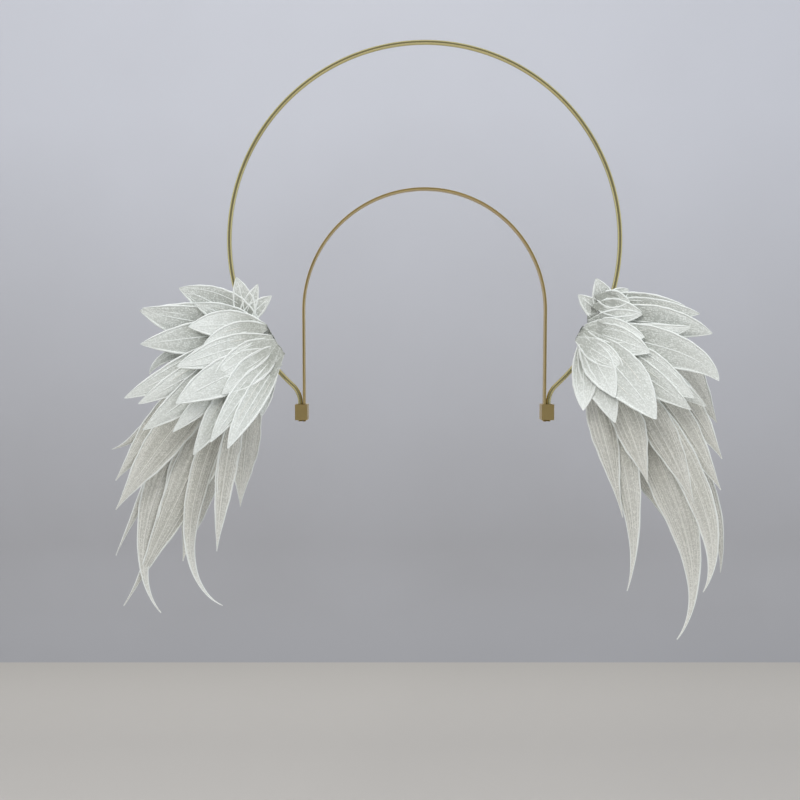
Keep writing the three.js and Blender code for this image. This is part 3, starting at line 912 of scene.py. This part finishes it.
def build_stage(finishes):
    """Floor and backdrop as one sheet: the profile runs back along the floor and up the wall."""
    level = np.linspace(STAGE_FRONT, BACKDROP_AT, STAGE_STEPS)
    rise = np.linspace(FLOOR_AT, BACKDROP_TOP, STAGE_STEPS)
    floor = np.stack([level, np.full(STAGE_STEPS, FLOOR_AT)], -1)
    wall = np.stack([np.full(STAGE_STEPS, BACKDROP_AT), rise], -1)
    profile = np.concatenate([floor, wall[1:]])
    xs = np.linspace(-2.0, 2.0, 9)
    places = np.broadcast_arrays(xs[None, :, None], profile[:, None, 0:1], profile[:, None, 1:2])
    points = np.stack(places, -1).reshape(len(profile), len(xs), 3)
    faces = grid_faces(len(profile), len(xs), closed=False)[:, ::-1]
    middle = points.reshape(-1, 3)[faces].mean(1)
    on_wall = (middle[:, 2] > FLOOR_AT + 0.01).astype(int)
    sweep = new_object("studio_sweep", points.reshape(-1, 3), faces,
                       [plain_cloth("floor_cloth", finishes.floor, finishes.floor, 0.9),
                        plain_cloth("backdrop_cloth", finishes.backdrop_painted_shade, finishes.backdrop_painted_light, 0.95)],
                       on_wall)
    scene = bpy.context.scene
    scene.view_settings.view_transform = "Standard"
    scene.cycles.transparent_max_bounces = 48
    world = bpy.data.worlds.new("studio")
    world.use_nodes = True
    tree = world.node_tree
    direction = node(tree, "ShaderNodeTexCoord").outputs["Generated"]
    forward = node(tree, "ShaderNodeSeparateXYZ", {0: direction}).outputs[1]
    room = map_range(tree, forward, *ROOM_FADE)
    background = tree.nodes["Background"]
    tree.links.new(mix_colours(tree, room, ROOM_NEAR, ROOM_ROUND), background.inputs[0])
    background.inputs[1].default_value = ROOM_STRENGTH
    scene.world = world
    for name, place, size, power, colour in LAMPS:
        light = bpy.data.lights.new(name, "AREA")
        light.energy, light.size, light.color = power, size, colour
        lamp = bpy.data.objects.new(name, light)
        lamp.location = place
        lamp.visible_glossy = False
        aim = np.array(AIM_AT) - np.array(place)
        aim /= np.linalg.norm(aim)
        lamp.rotation_euler = (math.acos(-aim[2]), 0.0, math.atan2(aim[1], aim[0]) - math.pi / 2)
        bpy.context.collection.objects.link(lamp)
    camera = bpy.data.cameras.new("camera")
    camera.lens, camera.sensor_width = 36.0, 36.0
    seat = bpy.data.objects.new("camera", camera)
    seat.location = CAMERA_AT
    seat.rotation_euler = (math.radians(90 + CAMERA_PITCH), 0.0, 0.0)
    bpy.context.collection.objects.link(seat)
    scene.camera = seat


# Operators

class HALO_OT_ring(Operator):
    """Build the ring of gold wire with its two tails."""
    bl_idname = "halo.ring"
    bl_label = "Halo ring"

    def execute(self, context):
        build_ring(context.scene.halo_sizes, context.scene.halo_finishes)
        return {"FINISHED"}


class HALO_OT_hoop(Operator):
    """Build the hair hoop and finish the sleeves at its ends."""
    bl_idname = "halo.hoop"
    bl_label = "Hair hoop and sleeves"

    def execute(self, context):
        build_hoop(context.scene.halo_sizes, context.scene.halo_finishes)
        build_sleeves(context.scene.halo_finishes)
        return {"FINISHED"}


class HALO_OT_left_wing(Operator):
    """Build the six lace layers of the left wing."""
    bl_idname = "halo.left_wing"
    bl_label = "Left wing"

    def execute(self, context):
        for layer in range(len(LAYERS)):
            build_layer("left", layer, context.scene.halo_sizes, context.scene.halo_finishes)
        return {"FINISHED"}


class HALO_OT_right_wing(Operator):
    """Build the six lace layers of the right wing."""
    bl_idname = "halo.right_wing"
    bl_label = "Right wing"

    def execute(self, context):
        for layer in range(len(LAYERS)):
            build_layer("right", layer, context.scene.halo_sizes, context.scene.halo_finishes)
        return {"FINISHED"}


class HALO_OT_stage(Operator):
    """Set up the floor, the backdrop, the lights and the camera."""
    bl_idname = "halo.stage"
    bl_label = "Studio"

    def execute(self, context):
        build_stage(context.scene.halo_finishes)
        return {"FINISHED"}


class HALO_PT_panel(Panel):
    """The sidebar panel with the sizes, the finishes and the buttons."""
    bl_label = "Halo headband"
    bl_idname = "HALO_PT_panel"
    bl_space_type = "VIEW_3D"
    bl_region_type = "UI"
    bl_category = "Halo"

    def draw(self, context):
        layout = self.layout
        for group in (context.scene.halo_sizes, context.scene.halo_finishes):
            column = layout.column(align=True)
            for key in group.__annotations__:
                column.prop(group, key)
        for operator in OPERATORS:
            layout.operator(operator.bl_idname)


OPERATORS = (HALO_OT_stage, HALO_OT_ring, HALO_OT_hoop, HALO_OT_left_wing, HALO_OT_right_wing)
CLASSES = (HaloSizes, HaloFinishes, *OPERATORS, HALO_PT_panel)


def register():
    for cls in CLASSES:
        bpy.utils.register_class(cls)
    bpy.types.Scene.halo_sizes = PointerProperty(type=HaloSizes)
    bpy.types.Scene.halo_finishes = PointerProperty(type=HaloFinishes)


def unregister():
    del bpy.types.Scene.halo_finishes
    del bpy.types.Scene.halo_sizes
    for cls in reversed(CLASSES):
        bpy.utils.unregister_class(cls)


def main():
    register()
    bpy.ops.halo.stage()
    bpy.ops.halo.ring()
    bpy.ops.halo.hoop()
    bpy.ops.halo.left_wing()
    bpy.ops.halo.right_wing()


if __name__ == "__main__":
    main()
